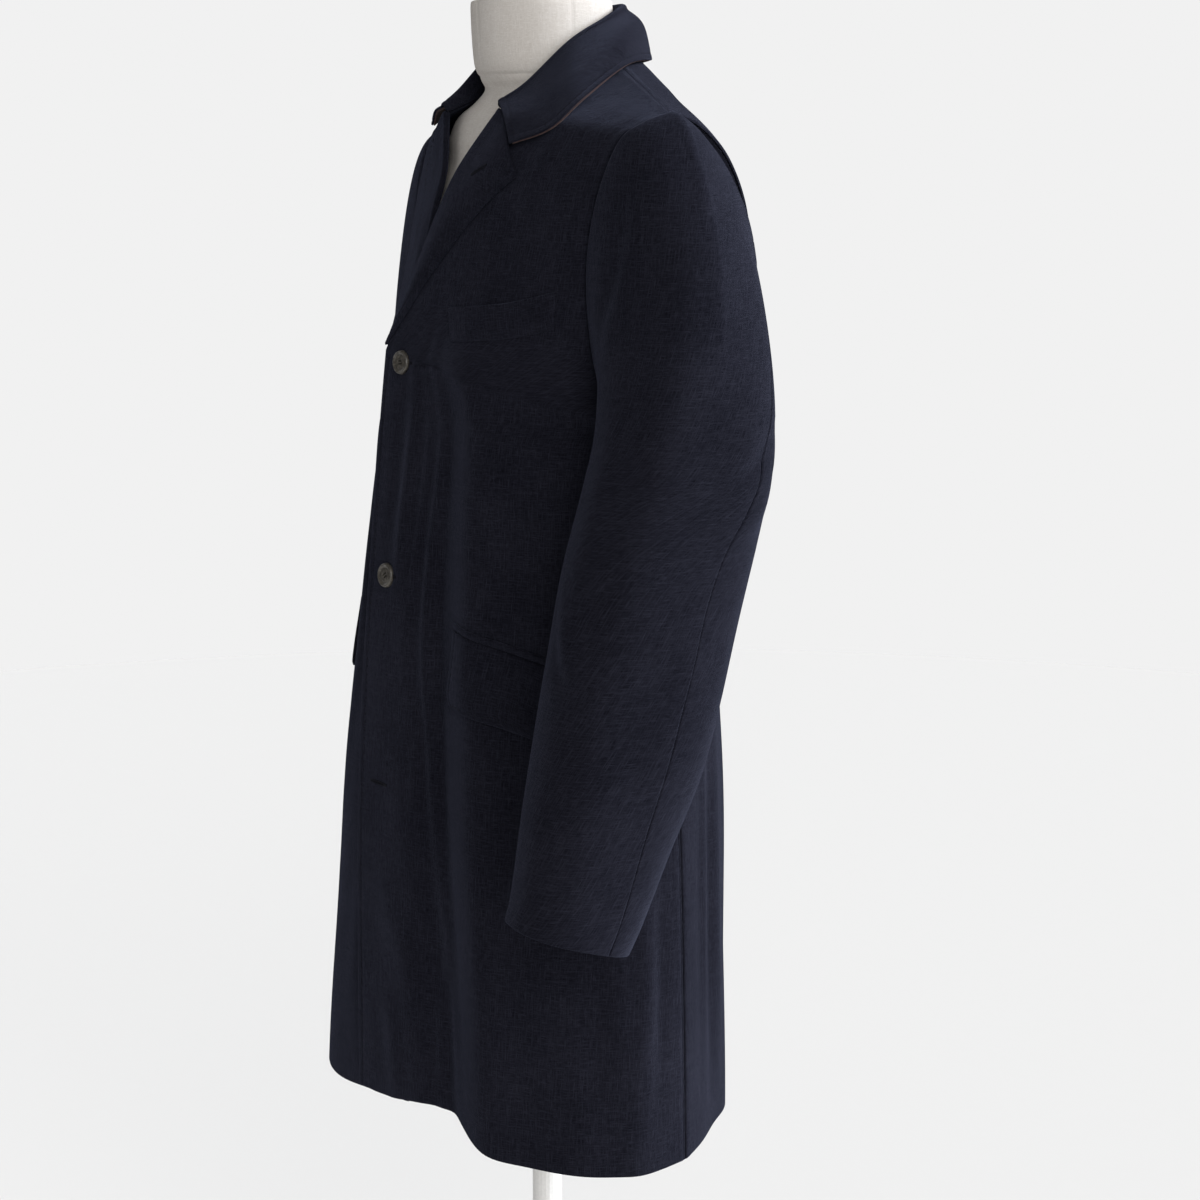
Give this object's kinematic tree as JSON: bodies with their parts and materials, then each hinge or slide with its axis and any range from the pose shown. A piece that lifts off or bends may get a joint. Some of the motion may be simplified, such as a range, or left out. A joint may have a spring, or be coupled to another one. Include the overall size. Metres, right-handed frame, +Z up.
{
  "type": "martingale coat on a dress form",
  "caption": "Three-quarter single-breasted coat with notch lapels, flap pockets and a half-belt at the back, worn open at the neck by a limbless linen dress form on a round stand.",
  "frame": {"origin": "centre of the underside of the stand's round base, on the floor", "axes": "+Z up along the stand's pole; +X to the wearer's left, the side with the chest pocket; -Y to the front, where the coat is buttoned"},
  "size_m": [0.6315, 0.34, 1.513],
  "materials": {
    "navy_cloth": "matt plain weave with uneven yarns",
    "brown_undercloth": "matt felt",
    "black_tape": "woven tape",
    "horn": "polished horn",
    "linen": "natural linen, matt",
    "painted_stand": "pale satin paint"
  },
  "bodies": {
    "root": {"front_left": "navy_cloth", "front_right": "navy_cloth", "back_left": "navy_cloth", "back_right": "navy_cloth", "pleat_left": "navy_cloth", "pleat_right": "navy_cloth", "topsleeve_left": "navy_cloth", "topsleeve_right": "navy_cloth", "undersleeve_left": "navy_cloth", "undersleeve_right": "navy_cloth", "lapel_left": "navy_cloth", "lapel_right": "navy_cloth", "collar": "navy_cloth", "undercollar": "brown_undercloth", "chest_welt": "navy_cloth", "flap_left": "navy_cloth", "flap_right": "navy_cloth", "jet_left": "navy_cloth", "jet_right": "navy_cloth", "martingale": "navy_cloth", "martingale_button_1": "horn", "martingale_button_2": "horn", "button_1": "horn", "button_2": "horn", "button_3": "horn", "zip_tape_left": "black_tape", "zip_tape_right": "black_tape", "form_torso": "linen", "pole": "painted_stand", "base": "painted_stand"}
  },
  "joints": []
}
